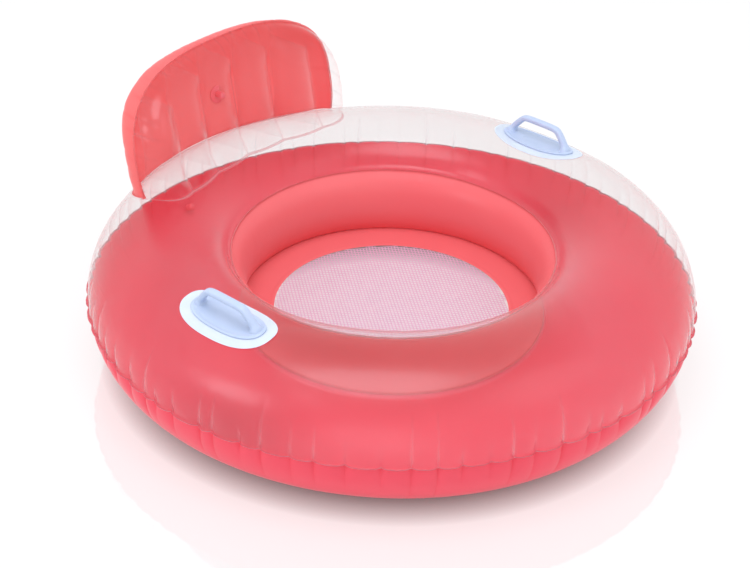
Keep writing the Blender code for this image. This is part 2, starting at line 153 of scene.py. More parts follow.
def build_light():
    world = bpy.data.worlds.new("studio")
    bpy.context.scene.world = world
    world.use_nodes = True
    background = world.node_tree.nodes["Background"]
    background.inputs["Color"].default_value = (1.0, 1.0, 1.0, 1.0)
    background.inputs["Strength"].default_value = WORLD_STRENGTH
    bpy.context.scene.view_settings.view_transform = "Standard"
    for name, place, size, power in LIGHTS:
        data = bpy.data.lights.new(name, "AREA")
        data.shape = "DISK"
        data.size = size
        data.energy = power
        data.color = LIGHT_COLOUR
        light = bpy.data.objects.new(name, data)
        bpy.context.scene.collection.objects.link(light)
        light.location = place
        light.rotation_euler = (LIGHT_TARGET - light.location).to_track_quat("-Z", "Y").to_euler()


# Materials

FILM_INDEX = 1.45
# The film's milky white: its own haze, and also the painted highlight along creases and welds
MILK_AND_CREASE_HIGHLIGHT = (0.92, 0.86, 0.90)
# Painted shade: the deeper coral that creases are darkened towards
CREASE_SHADE_CORAL = (0.84, 0.022, 0.045)
# Each colour drifts between a lighter and a deeper tone
CORAL = ((0.95, 0.118, 0.168), (0.94, 0.100, 0.152))
WALL_CORAL = ((0.90, 0.195, 0.208), (0.89, 0.175, 0.193))
# The backrest's rear coral is a lighter copy of the ring's coral: painted light
BACK_CORAL_PAINTED_LIGHTER = ((0.98, 0.285, 0.282), (0.98, 0.250, 0.257))
VALVE_CORAL = ((0.93, 0.12, 0.15), (0.91, 0.10, 0.14))
HANDLE_BLUE = ((0.47, 0.56, 0.75), (0.44, 0.54, 0.73))
PATCH_BLUE = ((0.61, 0.71, 0.84), (0.58, 0.69, 0.83))
YARN_PINK = ((0.81, 0.54, 0.69), (0.78, 0.49, 0.66))


def new_material(name):
    made = bpy.data.materials.new(name)
    made.use_nodes = True
    tree = made.node_tree
    tree.nodes.clear()
    return made, tree, tree.nodes.new("ShaderNodeOutputMaterial")


def node(tree, kind, links=(), **values):
    """Add a node, set its inputs by name and link sockets into it."""
    made = tree.nodes.new(kind)
    for key, value in values.items():
        made.inputs[key.replace("_", " ")].default_value = value
    for key, socket in links:
        tree.links.new(socket, made.inputs[key])
    return made


def waviness(tree, scale, strength, distance):
    """A bump from soft noise in the part's own space, for film that isn't perfectly smooth."""
    place = tree.nodes.new("ShaderNodeTexCoord")
    noise = node(tree, "ShaderNodeTexNoise", [("Vector", place.outputs["Object"])], Scale=scale, Detail=2.0)
    return node(tree, "ShaderNodeBump", [("Height", noise.outputs["Fac"])],
                Strength=strength, Distance=distance)


def mottled(tree, tones, scale):
    """A colour that drifts between two tones from place to place."""
    place = tree.nodes.new("ShaderNodeTexCoord")
    noise = node(tree, "ShaderNodeTexNoise", [("Vector", place.outputs["Object"])], Scale=scale, Detail=3.0)
    ramp = tree.nodes.new("ShaderNodeValToRGB")
    ramp.color_ramp.elements[0].position = 0.3
    ramp.color_ramp.elements[0].color = (*tones[1], 1)
    ramp.color_ramp.elements[1].position = 0.7
    ramp.color_ramp.elements[1].color = (*tones[0], 1)
    tree.links.new(noise.outputs["Fac"], ramp.inputs["Fac"])
    return ramp.outputs["Color"]


def mixed(tree, share, first, second):
    """A mix of two shaders; the share of the second is a number or a socket."""
    mix = tree.nodes.new("ShaderNodeMixShader")
    if isinstance(share, float):
        mix.inputs[0].default_value = share
    else:
        tree.links.new(share, mix.inputs[0])
    tree.links.new(first.outputs[0], mix.inputs[1])
    tree.links.new(second.outputs[0], mix.inputs[2])
    return mix


def scaled(tree, socket, factor, offset=0.0):
    """The socket's value times a factor, plus an offset."""
    step = node(tree, "ShaderNodeMath", [(0, socket)])
    step.operation = "MULTIPLY_ADD"
    step.inputs[1].default_value = factor
    step.inputs[2].default_value = offset
    return step.outputs[0]


def crease_mark(tree):
    """The painted crease mark at this place, from 0 to 1: highlight on clear film, shade on coral film."""
    mark = tree.nodes.new("ShaderNodeAttribute")
    mark.attribute_name = "crease"
    return mark.outputs["Fac"]


def polished(tree, body, bump, gloss, roughness):
    """The body with a film's gloss on it, whose Fresnel share stays right on both faces."""
    geometry = tree.nodes.new("ShaderNodeNewGeometry")
    index = tree.nodes.new("ShaderNodeMapRange")
    index.inputs["To Min"].default_value = FILM_INDEX
    index.inputs["To Max"].default_value = 1 / FILM_INDEX
    tree.links.new(geometry.outputs["Backfacing"], index.inputs["Value"])
    normal = ("Normal", bump.outputs["Normal"])
    fresnel = node(tree, "ShaderNodeFresnel", [("IOR", index.outputs[0]), normal])
    shine = node(tree, "ShaderNodeBsdfGlossy", [normal], Color=(1, 1, 1, 1), Roughness=roughness)
    return mixed(tree, scaled(tree, fresnel.outputs[0], gloss), body, shine)


def clear_film(name, haze, gloss, roughness, crease_highlight, tint):
    """Clear vinyl with a faint milky haze: it lets light through, shines by Fresnel, and is whitened along
    its creases and welds as a painted highlight.
    """
    made, tree, output = new_material(name)
    bump = waviness(tree, scale=18.0, strength=0.25, distance=0.004)
    clear = node(tree, "ShaderNodeBsdfTransparent", Color=(tint, tint, tint, 1))
    milk_and_crease_highlight = node(tree, "ShaderNodeBsdfTranslucent", [("Normal", bump.outputs["Normal"])], Color=(*MILK_AND_CREASE_HIGHLIGHT, 1))
    # Milky haze everywhere, plus a whitening along creases and welds that is a painted highlight
    body = mixed(tree, scaled(tree, crease_mark(tree), crease_highlight, haze), clear, milk_and_crease_highlight)
    film = polished(tree, body, bump, gloss, roughness)
    tree.links.new(film.outputs[0], output.inputs["Surface"])
    return made


def coral_film(name, tones, through=0.22, gloss=0.45):
    """Tinted vinyl that glows where light comes through it and is darkened along its creases as painted
    shade.
    """
    made, tree, output = new_material(name)
    bump = waviness(tree, scale=22.0, strength=0.2, distance=0.003)
    # Darkening towards the crease shade colour along creases: painted shade
    tint = node(tree, "ShaderNodeMix", [("Factor", scaled(tree, crease_mark(tree), 0.5))])
    tint.data_type = "RGBA"
    tree.links.new(mottled(tree, tones, scale=5.0), tint.inputs[6])
    tint.inputs[7].default_value = (*CREASE_SHADE_CORAL, 1)
    links = [("Color", tint.outputs[2]), ("Normal", bump.outputs["Normal"])]
    face = node(tree, "ShaderNodeBsdfDiffuse", links)
    glow = node(tree, "ShaderNodeBsdfTranslucent", links)
    film = polished(tree, mixed(tree, through, face, glow), bump, gloss, roughness=0.3)
    tree.links.new(film.outputs[0], output.inputs["Surface"])
    return made


def moulded(name, tones, roughness):
    """Soft moulded vinyl with a fine satin grain."""
    made, tree, output = new_material(name)
    bump = waviness(tree, scale=900.0, strength=0.08, distance=0.0004)
    shader = node(tree, "ShaderNodeBsdfPrincipled",
                  [("Base Color", mottled(tree, tones, scale=40.0)), ("Normal", bump.outputs["Normal"])],
                  Roughness=roughness, Subsurface_Weight=0.15, Subsurface_Scale=1.0)
    shader.inputs["Subsurface Radius"].default_value = (0.004, 0.004, 0.005)
    tree.links.new(shader.outputs[0], output.inputs["Surface"])
    return made


def net_yarn(name, tones):
    """Knitted yarn that lets some light through."""
    made, tree, output = new_material(name)
    bump = waviness(tree, scale=2200.0, strength=0.5, distance=0.0003)
    tint = mottled(tree, tones, scale=60.0)
    face = node(tree, "ShaderNodeBsdfDiffuse", [("Color", tint), ("Normal", bump.outputs["Normal"])])
    glow = node(tree, "ShaderNodeBsdfTranslucent", [("Color", tint)])
    tree.links.new(mixed(tree, 0.3, face, glow).outputs[0], output.inputs["Surface"])
    return made


def floor_material():
    """White light table: it glows a little, its glow is dimmed close to the objects by ambient occlusion as
    a painted contact shadow, and its polish gives a faint mirror image.
    """
    made, tree, output = new_material("floor_board")
    place = tree.nodes.new("ShaderNodeTexCoord")
    noise = node(tree, "ShaderNodeTexNoise", [("Vector", place.outputs["Object"])], Scale=9.0, Detail=4.0)
    bump = node(tree, "ShaderNodeBump", [("Height", noise.outputs["Fac"])], Strength=0.01, Distance=0.001)
    normal = ("Normal", bump.outputs["Normal"])
    matt = node(tree, "ShaderNodeBsdfDiffuse", [normal], Color=(0.25, 0.25, 0.25, 1))
    # Ambient occlusion dims the glow near the objects: a painted contact shadow
    shade = node(tree, "ShaderNodeAmbientOcclusion", Distance=0.05)
    soft = node(tree, "ShaderNodeGamma", [("Color", shade.outputs["Color"])], Gamma=0.8)
    glow_with_painted_shadow = node(tree, "ShaderNodeEmission", [("Color", soft.outputs["Color"])], Strength=0.74)
    board = tree.nodes.new("ShaderNodeAddShader")
    tree.links.new(matt.outputs[0], board.inputs[0])
    tree.links.new(glow_with_painted_shadow.outputs[0], board.inputs[1])
    mirror = node(tree, "ShaderNodeBsdfGlossy", [normal], Color=(1, 1, 1, 1), Roughness=0.05)
    tree.links.new(mixed(tree, 0.15, board, mirror).outputs[0], output.inputs["Surface"])
    return made


MATERIALS = {
    "clear": clear_film("clear_vinyl_film", haze=0.015, gloss=0.65, roughness=0.28, crease_highlight=0.28,
                        tint=0.97),
    "front": clear_film("clear_front_film", haze=0.02, gloss=0.9, roughness=0.22, crease_highlight=0.6,
                        tint=0.99),
    "rib": clear_film("clear_rib_film", haze=0.07, gloss=0.3, roughness=0.3, crease_highlight=0.28,
                      tint=0.985),
    "coral": coral_film("coral_vinyl_film", CORAL),
    "back": coral_film("coral_back_film", BACK_CORAL_PAINTED_LIGHTER, through=0.48, gloss=0.35),
    "wall": coral_film("coral_wall_film", WALL_CORAL),
    "handle": moulded("pale_blue_moulding", HANDLE_BLUE, roughness=0.38),
    "patch": moulded("pale_patch_vinyl", PATCH_BLUE, roughness=0.28),
    "valve": moulded("coral_valve_vinyl", VALVE_CORAL, roughness=0.3),
    "net": net_yarn("net_yarn", YARN_PINK),
}


# Helpers

def turn_from(place, angle):
    """The shortest turn from one angle to another, in radians."""
    return (angle - place + math.pi) % (2 * math.pi) - math.pi


def to_object(name, points, faces, material_name, smooth=True):
    mesh = bpy.data.meshes.new(name)
    mesh.from_pydata(points.tolist(), [], faces)
    mesh.validate()
    if smooth:
        mesh.shade_smooth()
    thing = bpy.data.objects.new(name, mesh)
    bpy.context.scene.collection.objects.link(thing)
    mesh.materials.append(MATERIALS[material_name])
    return thing


def ring_faces(rows, sides, closed=False):
    """Faces between neighbouring rings of points; closed joins the last ring to the first."""
    faces = []
    for i in range(rows if closed else rows - 1):
        n = (i + 1) % rows
        for j in range(sides):
            k = (j + 1) % sides
            faces.append((i * sides + j, i * sides + k, n * sides + k, n * sides + j))
    return faces


def capped_faces(rows, sides):
    """The faces of a bar of rings, with a cap on each end."""
    caps = [tuple(range(sides))[::-1], tuple(range((rows - 1) * sides, rows * sides))]
    return ring_faces(rows, sides) + caps


def grid_normals(grid, wraps):
    """Unit normals of a grid of points, shaped rows x columns x 3; columns may close on themselves."""
    if wraps:
        across = np.roll(grid, -1, axis=1) - np.roll(grid, 1, axis=1)
    else:
        across = np.gradient(grid, axis=1)
    along = np.gradient(grid, axis=0)
    normals = np.cross(across, along)
    return normals / np.maximum(np.linalg.norm(normals, axis=2, keepdims=True), 1e-12)


def keep_crease(thing, crease):
    """Store the painted crease highlight and shade of each point, for the film's material."""
    mark = thing.data.attributes.new("crease", "FLOAT", "POINT")
    mark.data.foreach_set("value", np.ascontiguousarray(crease, dtype=np.float32).ravel())


def sheet_film(name, grid, material_name, crease=None):
    """A film so thin that one face stands for it."""
    rows, columns = grid.shape[:2]
    index = np.arange(rows * columns).reshape(rows, columns)
    faces = np.stack([index[:-1, :-1], index[:-1, 1:], index[1:, 1:], index[1:, :-1]], axis=-1)
    film = to_object(name, grid.reshape(-1, 3), faces.reshape(-1, 4).tolist(), material_name)
    if crease is not None:
        keep_crease(film, crease)
    return film


def grid_film(name, grid, material_name, wraps=False, crease=None):
    """A film with two faces and a closed rim; the grid is its outer face, seen with normals outwards."""
    rows, columns = grid.shape[:2]
    inner = grid - grid_normals(grid, wraps) * FILM
    points = np.concatenate([grid.reshape(-1, 3), inner.reshape(-1, 3)])
    size = rows * columns
    spans = columns if wraps else columns - 1
    index = np.arange(size).reshape(rows, columns)
    right = np.roll(index, -1, axis=1)
    a, b = index[:-1, :spans], right[:-1, :spans]
    c, d = right[1:, :spans], index[1:, :spans]
    outside = np.stack([a, b, c, d], axis=-1).reshape(-1, 4)
    faces = [outside, outside[:, ::-1] + size]
    for row, flip in ((0, False), (rows - 1, True)):
        a, b = index[row, :spans], right[row, :spans]
        rim = np.stack([b, a, a + size, b + size], axis=-1)
        faces.append(rim[:, ::-1] if flip else rim)
    if not wraps:
        for column, flip in ((0, True), (columns - 1, False)):
            a, b = index[:-1, column], index[1:, column]
            rim = np.stack([b, a, a + size, b + size], axis=-1)
            faces.append(rim[:, ::-1] if flip else rim)
    film = to_object(name, points, np.concatenate(faces).tolist(), material_name)
    if crease is not None:
        keep_crease(film, np.concatenate([crease.ravel(), crease.ravel()]))
    return film


# The ring

SWELL = 0.0012
PUFF_FADE = 0.030
# Across a crease, in its own widths: its columns of points, where the plain columns start again, the
# square of the bottom's roundness and the half width of the line along it
CREASE_COLUMNS = (-1.8, -0.9, -0.4, -0.15, 0.0, 0.15, 0.4, 0.9, 1.8)
CREASE_CLEAR = 2.8
CREASE_BLUNTNESS = 0.02
CREASE_LINE = 0.34
# The welded lip: its height over the solid top panel's lower edge, how far from the seam its creases are
# read, and how much of their depth draws it in and lifts it
LIP_RISE = 0.0008
LIP_READ = 0.002
LIP_DRAW = 0.75
LIP_LIFT = 0.2
# The panels' grids, whose rows are close together over the first degrees from the outer seam
SEAM_OFFSET = 0.8
WALL_OFFSET = 0.6
FINE_REACH = 34.0
FINE_ROWS = 15
WIDE_ROWS = 26
WALL_ROWS = 22
PANEL_COLUMNS = 288
WALL_COLUMNS = 180
# The rims of the inner weld: degrees past its seam and height over the skin
TOP_RIM = (0.3, 0.0035)
WALL_RIM = (0.4, 0.0033)


class Gathers:
    """Uneven creases round a weld, each a narrow valley that runs away from the seam."""

    def __init__(self, count, seed, radius, depth, width, reach, scallop):
        chance = np.random.RandomState(seed)
        self.angles = 2 * math.pi * (np.arange(count) + chance.uniform(-0.28, 0.28, count)) / count
        self.depths = depth * chance.uniform(0.35, 1.0, count)
        self.widths = width * chance.uniform(0.7, 1.3, count) / radius
        self.reaches = reach * chance.uniform(0.22, 1.0, count)
        self.shows = chance.uniform(0.15, 1.0, count) ** 1.4
        self.scallop = scallop

    def arcs(self, angle):
        """How far each puff between two creases falls short of its crest, from 0 to 1."""
        starts = np.sort(self.angles % (2 * math.pi))
        ends = np.roll(starts, -1)
        ends[-1] += 2 * math.pi
        angle = (angle - starts[0]) % (2 * math.pi) + starts[0]
        which = np.clip(np.searchsorted(starts, angle, side="right") - 1, 0, len(starts) - 1)
        share = (angle - starts[which]) / (ends[which] - starts[which])
        return (2 * share - 1) ** 2

    def depth(self, angle, away):
        """Inward depth at an angle round the ring and a distance from the seam; arrays of one shape."""
        total = self.scallop * self.arcs(angle) * np.exp(-away / PUFF_FADE)
        for place, deep, wide, reach in zip(self.angles, self.depths, self.widths, self.reaches):
            turn = np.abs(turn_from(place, angle))
            share = np.clip(away / reach, 0, 1)
            fade = (1 - share) ** 1.3
            blunt = np.sqrt((turn / wide) ** 2 + CREASE_BLUNTNESS) * (1 + 0.5 * share)
            total += deep * np.exp(-blunt) * fade
        return total

    def mark(self, angle, away):
        """The narrow line along the bottom of each crease, from 0 to 1, where painted crease highlight and
        shade are laid.
        """
        total = np.zeros(np.broadcast(angle, away).shape)
        for place, show, wide, reach in zip(self.angles, self.shows, self.widths, self.reaches):
            turn = np.abs(turn_from(place, angle))
            fade = np.clip(1 - away / reach, 0, 1) ** 0.8
            total = np.maximum(total, show * np.exp(-((turn / wide / CREASE_LINE) ** 2)) * fade)
        return total

    def columns(self, plain):
        """Angles that follow the creases closely and fill the stretches between them evenly."""
        near = np.array(CREASE_COLUMNS)
        fine = (self.angles[:, None] + near[None, :] * self.widths[:, None]).ravel()
        even = np.arange(plain) * 2 * math.pi / plain
        gap = np.abs(turn_from(self.angles[None, :], even[:, None]))
        even = even[(gap / self.widths[None, :]).min(axis=1) > CREASE_CLEAR]
        return np.unique(np.round(np.concatenate([fine, even]) % (2 * math.pi), 6))


OUTER_GATHERS = Gathers(count=76, seed=11, radius=RING_HIGH.x, depth=0.0070, width=0.0075, reach=0.120,
                        scallop=0.0032)
INNER_GATHERS = Gathers(count=40, seed=5, radius=WALL_HIGH.x, depth=0.0012, width=0.0060, reach=0.030,
                        scallop=0.0)


def handle_sag(x, y, z):
    """How far the upper half of the tube dips where the handles are welded to it."""
    off_line = np.hypot(x, y) - HANDLE_X
    reach = np.where(off_line < 0, SAG_REACH_INWARDS, SAG_REACH_OUTWARDS)
    share = np.clip((z - TUBE_Z) / (SAG_FULL_FROM * TUBE_HALF_HEIGHT), 0, 1)
    near = np.exp(-((off_line / reach) ** 2) - (((y - HANDLE_Y) / SAG_LENGTH) ** 2))
    return HANDLE_SAG * near * share * share * (3 - 2 * share)


def section(angle, angle_round, inset=0.0):
    """Points of the tube's skin or inset from it: angle in degrees, angle_round in radians."""
    pinch = 0
    for seam, depth, spread in SEAM_PINCHES:
        pinch = pinch + depth * np.exp(-(((angle - seam) / spread) ** 2))
    turn = np.radians(angle)
    from_outer = np.abs(angle - OUTER_SEAM if np.max(angle) < 300 else 360 + OUTER_SEAM - angle)
    away = np.radians(from_outer) * TUBE_HALF_WIDTH
    inner_away = np.radians(np.abs(angle - INNER_SEAM)) * TUBE_HALF_WIDTH
    dip = OUTER_GATHERS.depth(angle_round, away) + INNER_GATHERS.depth(angle_round, inner_away)
    swell = np.sin(3 * angle_round + 0.4) + np.sin(5 * angle_round + turn) * 0.5
    dip = dip - SWELL * swell * np.sin(turn) ** 2 + inset
    radius = TUBE_RADIUS + (TUBE_HALF_WIDTH * (1 - pinch) - dip) * np.cos(turn)
    height = TUBE_Z + (TUBE_HALF_HEIGHT * (1 - pinch) - dip) * np.sin(turn)
    height = np.maximum(height, FOOT_LIFT + inset)
    x = radius * np.cos(angle_round)
    y = radius * np.sin(angle_round)
    return np.stack([x, y, height - handle_sag(x, y, height)], axis=-1)


def lip(angle_round, reach, height):
    """The welded lip outside the outer seam, scalloped between its creases."""
    dip = OUTER_GATHERS.depth(angle_round, np.full_like(angle_round, LIP_READ))
    radius = RING_HIGH.x - SEAM_LIP + reach - LIP_DRAW * dip
    level = height + LIP_LIFT * dip
    return np.stack([radius * np.cos(angle_round), radius * np.sin(angle_round), level], axis=-1)


def spaced(start, end):
    """Section angles with close steps near the start and wide ones further on."""
    change = start + math.copysign(FINE_REACH, end - start)
    close = np.linspace(start, change, FINE_ROWS, endpoint=False)
    wide = np.linspace(change, end, WIDE_ROWS)
    return np.concatenate([close, wide])


def seam_marks(angles, columns, seam):
    """Painted crease lines of a panel's rows, which start at the outer seam: highlight on the clear top film
    and shade on the coral bottom film.
    """
    away = np.radians(np.abs(angles - seam)) * TUBE_HALF_WIDTH
    return OUTER_GATHERS.mark(columns[None, :], away[:, None])


def lip_edge(columns, height):
    """The two rows of points of a panel's welded lip."""
    return np.stack([lip(columns, SEAM_LIP, height), lip(columns, 0.0, height)])


def build_ring():
    columns = OUTER_GATHERS.columns(PANEL_COLUMNS)
    seam_z = RING_LOW.z + LIP_RISE
    angles = spaced(OUTER_SEAM + SEAM_OFFSET, INNER_SEAM)
    body = section(angles[:, None], columns[None, :])
    rim = section(np.array([[INNER_SEAM + TOP_RIM[0]]]), columns[None, :], -TOP_RIM[1])
    grid = np.concatenate([lip_edge(columns, seam_z + FILM), body, rim])
    marks = seam_marks(angles, columns, OUTER_SEAM)
    marks = np.pad(marks, ((2, 1), (0, 0)))
    top = grid_film("ring_top_film", grid, "clear", wraps=True, crease=marks)
    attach(top, "ring")
    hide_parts("ring_top_panel")

    angles = spaced(360 + OUTER_SEAM - SEAM_OFFSET, CREASE)
    body = section(angles[:, None], columns[None, :])
    grid = np.concatenate([lip_edge(columns, seam_z - FILM), body])[::-1]
    marks = seam_marks(angles, columns, 360 + OUTER_SEAM)
    # The coral film's lip rows are darkened a little with the same painted crease shade
    marks = np.pad(marks, ((2, 0), (0, 0)), constant_values=0.2)[::-1]
    bottom = grid_film("ring_bottom_film", grid, "coral", wraps=True, crease=marks)
    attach(bottom, "ring")
    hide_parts("ring_bottom_panel")

    columns = INNER_GATHERS.columns(WALL_COLUMNS)
    angles = np.linspace(INNER_SEAM + WALL_OFFSET, CREASE, WALL_ROWS)
    body = section(angles[:, None], columns[None, :])
    rim = section(np.array([[INNER_SEAM + WALL_RIM[0]]]), columns[None, :], -WALL_RIM[1])
    wall = grid_film("ring_inner_wall_film", np.concatenate([rim, body]), "wall", wraps=True)
    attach(wall, "ring")
    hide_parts("ring_inner_wall")


# The seat

CREASE_RADIUS = TUBE_RADIUS + TUBE_HALF_WIDTH * (1 - CREASE_PINCH) * math.cos(math.radians(CREASE))
CREASE_Z = TUBE_Z + TUBE_HALF_HEIGHT * (1 - CREASE_PINCH) * math.sin(math.radians(CREASE))
BAND_MEET = CREASE_Z + 0.0012 - BAND_HIGH.z
# Radius and height over the solid band of each ring of points, from the ring's crease to the net's weld
BAND_ROWS = ((CREASE_RADIUS + 0.0010, BAND_MEET), (CREASE_RADIUS - 0.0012, BAND_MEET),
             (0.298, 0.4 * BAND_MEET), (0.280, 0.0), (0.262, -0.0002), (0.2445, 0.0002), (0.2415, 0.0005),
             (0.2405, 0.0009), (0.2345, 0.0009), (0.2335, 0.0004))


def build_seat_band():
    """The flat ring of film between the crease and the net, welded over the net's edge."""
    columns = np.arange(240) * 2 * math.pi / 240
    inner_radius = BAND_ROWS[-1][0]
    wave = 0.0006 * np.sin(9 * columns + 0.5) + 0.0004 * np.sin(17 * columns)
    rows = []
    for radius, level in BAND_ROWS:
        slack = max(0.0, (radius - inner_radius) * (CREASE_RADIUS - radius))
        slack *= 4 / (CREASE_RADIUS - inner_radius) ** 2
        height = BAND_HIGH.z + level + wave * slack
        rows.append(np.stack([radius * np.cos(columns), radius * np.sin(columns), height], axis=-1))
    band = grid_film("seat_band_film", np.stack(rows), "wall", wraps=True)
    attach(band, "ring")
    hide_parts("seat_band")


NET_PITCH = 0.0066
NET_HOLE = 0.0047
NET_THREAD = 0.0005
NET_TURN = math.radians(51.5)
NET_BOTTOM = NET_LOW.z + 0.0012
KNOT_RISE = 0.0002
NET_MARGIN = 0.0005
# How far a cell's corner knots stand from its middle, in pitches, with a little to spare
CELL_REACH = 0.72


def build_seat_net():
    """A knitted net: rows of square holes, cut to a disc that dishes under its own weight."""
    limit = NET_HIGH.x - NET_MARGIN
    cells = int(2 * limit / NET_PITCH) + 2
    steps = np.arange(-cells, cells + 1)
    i, j = np.meshgrid(steps, steps, indexing="ij")
    inside = np.hypot(i, j) * NET_PITCH < limit - NET_PITCH * CELL_REACH
    cell_i, cell_j = i[inside], j[inside]
    lookup = {}
    points = []
    faces = []

    def dish(x, y):
        share = 1 - (x * x + y * y) / (NET_HIGH.x ** 2)
        return NET_HIGH.z - (NET_HIGH.z - NET_BOTTOM) * max(0.0, share)

    def place(a, b, rise, key):
        if key not in lookup:
            x = (a * math.cos(NET_TURN) - b * math.sin(NET_TURN)) * NET_PITCH
            y = (a * math.sin(NET_TURN) + b * math.cos(NET_TURN)) * NET_PITCH
            z = dish(x, y)
            lookup[key] = len(points)
            points.append((x, y, z + rise))
            points.append((x, y, z - NET_THREAD - rise))
        return lookup[key]

    half = NET_HOLE / NET_PITCH / 2
    around = ((-1, -1), (1, -1), (1, 1), (-1, 1))
    for a, b in zip(cell_i.tolist(), cell_j.tolist()):
        knots = [place(a + p / 2, b + q / 2, KNOT_RISE, (2 * a + p, 2 * b + q)) for p, q in around]
        holes = [place(a + p * half, b + q * half, 0.0, (a, b, p, q)) for p, q in around]
        for k in range(4):
            n = (k + 1) % 4
            faces.append((knots[k], knots[n], holes[n], holes[k]))
            faces.append((knots[n] + 1, knots[k] + 1, holes[k] + 1, holes[n] + 1))
            faces.append((holes[k], holes[n], holes[n] + 1, holes[k] + 1))
    sides = {}
    for a, b in zip(cell_i.tolist(), cell_j.tolist()):
        for k in range(4):
            p, q = around[k]
            r, s = around[(k + 1) % 4]
            edge = (lookup[(2 * a + p, 2 * b + q)], lookup[(2 * a + r, 2 * b + s)])
            if (edge[1], edge[0]) in sides:
                del sides[(edge[1], edge[0])]
            else:
                sides[edge] = True
    for first, second in sides:
        faces.append((second, first, first + 1, second + 1))
    net = to_object("seat_net", np.array(points), faces, "net", smooth=False)
    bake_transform(net)
    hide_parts("seat_mesh")


# The backrest

FOOT_FLANGE = 0.008
FLANGE_LIFT = 0.0010
FOOT_SKIN_GAP = 0.0014
FOOT_TAPER = 0.03
CREST = 0.005
# The channels along the ribs: how round their bottoms are, where they end and how slowly they fade
CHANNEL_ROUNDNESS = 0.004
CHANNEL_TOP = 0.97
CHANNEL_FADE = 0.45
# The ribs end this far under the panels' crest, and their weld lines run a little higher
RIB_TOP_GAP = 0.032
RIB_WELD_TOP_GAP = 0.030
RIB_WELD_WIDTH = 0.0022
# How deep the ribs hold the front (-1) and rear (+1) films in, and how little of it is left at the foot
HOLD = {-1: 0.025, 1: 0.020}
FOOT_HOLD = 0.18
GATHER_SEEDS = {-1: 21, 1: 22}
GATHER_COUNT = 34
GATHER_DEPTH = 0.0045
GATHER_WIDTH = 0.020
GATHER_CENTRE_RISE = 0.08
FIN_SCALLOP = 0.0014
# How strongly the rib welds and the three rows of the flange are marked, front and rear: whitened on the
# clear film and darkened on the coral one, as weld lines with painted highlight and shade
WELD_MARK = {-1: 0.45, 1: 0.10}
FLANGE_MARKS = {-1: (0.3, 1.0, 0.5), 1: (0.6, 0.6, 0.6)}
FOOT_BLEND = 0.050
BACK_COLUMNS = 281
FOOT_ROWS = 14
BACK_ROWS = 64


def outline_point(u, v):
    """Place in the seam surface of a grid point: u from side to side, v up from the widest line."""
    power = BACK_CORNER_POWER
    up = np.clip(v, 0, 1)
    x = BACK_HALF_WIDTH * u * (1 - up ** power / 2) ** (1 / power)
    z = BACK_WIDEST_Z + BACK_RISE * up * (1 - np.abs(u) ** power / 2) ** (1 / power)
    drop = np.clip(-v, 0, 1)
    x = x * (1 - FOOT_TAPER * drop * drop)
    z = z - drop * (BACK_WIDEST_Z - BACK_BASE_Z)
    return x, z


def seam_y(x, z):
    """Where the weld between the two panels stands: bowed back at its sides and leaning with height."""
    return BACK_SEAM_Y - BACK_SEAM_BOW * x * x + (z - BACK_BASE_Z) * math.tan(BACK_LEAN)


def tube_top_z(x, y):
    """Height of the ring's upper skin."""
    offset = (np.hypot(x, y) - TUBE_RADIUS) / TUBE_HALF_WIDTH
    height = TUBE_Z + TUBE_HALF_HEIGHT * np.sqrt(np.clip(1 - offset * offset, 0, 1))
    return height - handle_sag(x, y, height)


def channels(x, v):
    """How far the welded ribs hold the panel in: 1 on a rib, 0 on the crest between two."""
    between = np.sqrt(np.sin(math.pi * (x - RIB_PLACES[2]) / RIB_SPACING) ** 2 + CHANNEL_ROUNDNESS)
    between = np.where(np.abs(x - RIB_PLACES[2]) > 2.5 * RIB_SPACING, 1.0, between)
    top = np.clip((CHANNEL_TOP - v) / CHANNEL_FADE, 0, 1)
    return (1 - np.minimum(between, 1.0) ** 0.9) * top * top * (3 - 2 * top)


def edge_gathers(u, v, seed):
    """Depth of the creases that run in from the backrest's puckered outline."""
    chance = np.random.RandomState(seed)
    x, z = outline_point(u, v)
    along = np.arctan2(z - BACK_BASE_Z - GATHER_CENTRE_RISE, x)
    edge = 1 - np.maximum(np.abs(u), np.clip(v, 0, 1))
    total = np.zeros(np.broadcast(u, v).shape)
    shares = (np.arange(GATHER_COUNT) + chance.uniform(-0.3, 0.3, GATHER_COUNT)) / GATHER_COUNT
    for place in math.pi * (1.5 * shares - 0.25):
        deep = chance.uniform(0.3, 1.0)
        reach = chance.uniform(0.12, 0.34)
        turn = turn_from(place, along)
        fade = np.clip(1 - edge / reach, 0, 1) ** 1.3
        total += deep * np.exp(-np.sqrt((turn / GATHER_WIDTH) ** 2 + CREASE_BLUNTNESS)) * fade
    return total


def panel_place(side, u, v):
    """Points of the front (side -1) or rear (side +1) film, from the ring's top to the seam."""
    x, z = outline_point(u, v)
    growth, base = (FRONT_DEPTH_GROWTH, FRONT_DEPTH) if side < 0 else (REAR_DEPTH_GROWTH, REAR_DEPTH)
    fullness = np.sqrt(np.clip((1 - u ** 6) * (1 - np.clip(v, 0, 1) ** BACK_CORNER_POWER), 0, 1))
    low = np.clip((v + 1) / 0.5, 0, 1)
    held = (CREST - HOLD[side] * channels(x, v)) * (FOOT_HOLD + (1 - FOOT_HOLD) * low)
    stand_off = (base + growth * x * x + held) * fullness
    stand_off = stand_off - GATHER_DEPTH * edge_gathers(u, v, GATHER_SEEDS[side]) * (fullness > 0.02)
    y = seam_y(x, z) + side * (np.maximum(stand_off, 0.0) + FILM)
    floor = tube_top_z(x, y) + FOOT_SKIN_GAP
    sink = np.clip((BACK_BASE_Z + FOOT_BLEND - z) / FOOT_BLEND, 0, 1)
    z = np.where(v < 0, z + (floor - BACK_BASE_Z) * sink, z)
    return np.stack([x, y, z], axis=-1)


